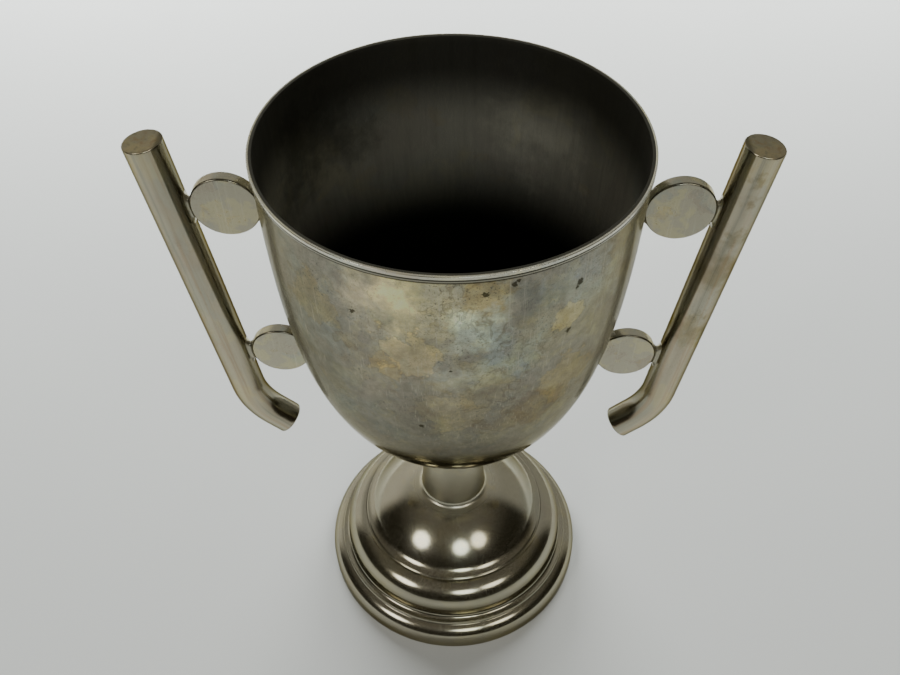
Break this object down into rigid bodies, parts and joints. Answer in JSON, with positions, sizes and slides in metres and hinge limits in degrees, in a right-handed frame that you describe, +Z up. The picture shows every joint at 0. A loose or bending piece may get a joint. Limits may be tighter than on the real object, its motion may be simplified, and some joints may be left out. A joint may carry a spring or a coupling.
{
  "type": "cup trophy",
  "caption": "Award cup: a deep open bowl with a wired rim, a bar handle standing off each side on round discs, and a spun, stepped foot with a short stem.",
  "frame": {"origin": "centre of the plane that the foot stands on", "axes": "+Z up along the cup's axis, X through both handles, Y front to back"},
  "size_m": [0.1406, 0.0856, 0.1607],
  "materials": {
    "satin_plate": "satin silver plate with mottled tarnish and fine scratches",
    "polished_plate": "polished silver plate with a light tarnish film",
    "bare_brass": "turned and left bare",
    "plain_steel": "plain steel, dulled",
    "solder": "dull plated solder fillet"
  },
  "bodies": {
    "root": {"bowl": "satin_plate", "rim_wire": "satin_plate", "bowl_boss": "bare_brass", "stem_collar": "polished_plate", "foot": "polished_plate", "tie_stud": "plain_steel", "cup_washer": "plain_steel", "hex_nut": "plain_steel", "left_bar": "satin_plate", "right_bar": "satin_plate", "left_upper_disc": "satin_plate", "right_upper_disc": "satin_plate", "left_lower_disc": "satin_plate", "right_lower_disc": "satin_plate", "left_upper_bar_joint": "solder", "right_upper_bar_joint": "solder", "left_lower_bar_joint": "solder", "right_lower_bar_joint": "solder", "left_upper_bowl_joint": "solder", "right_upper_bowl_joint": "solder", "left_lower_bowl_joint": "solder", "right_lower_bowl_joint": "solder"}
  },
  "joints": []
}
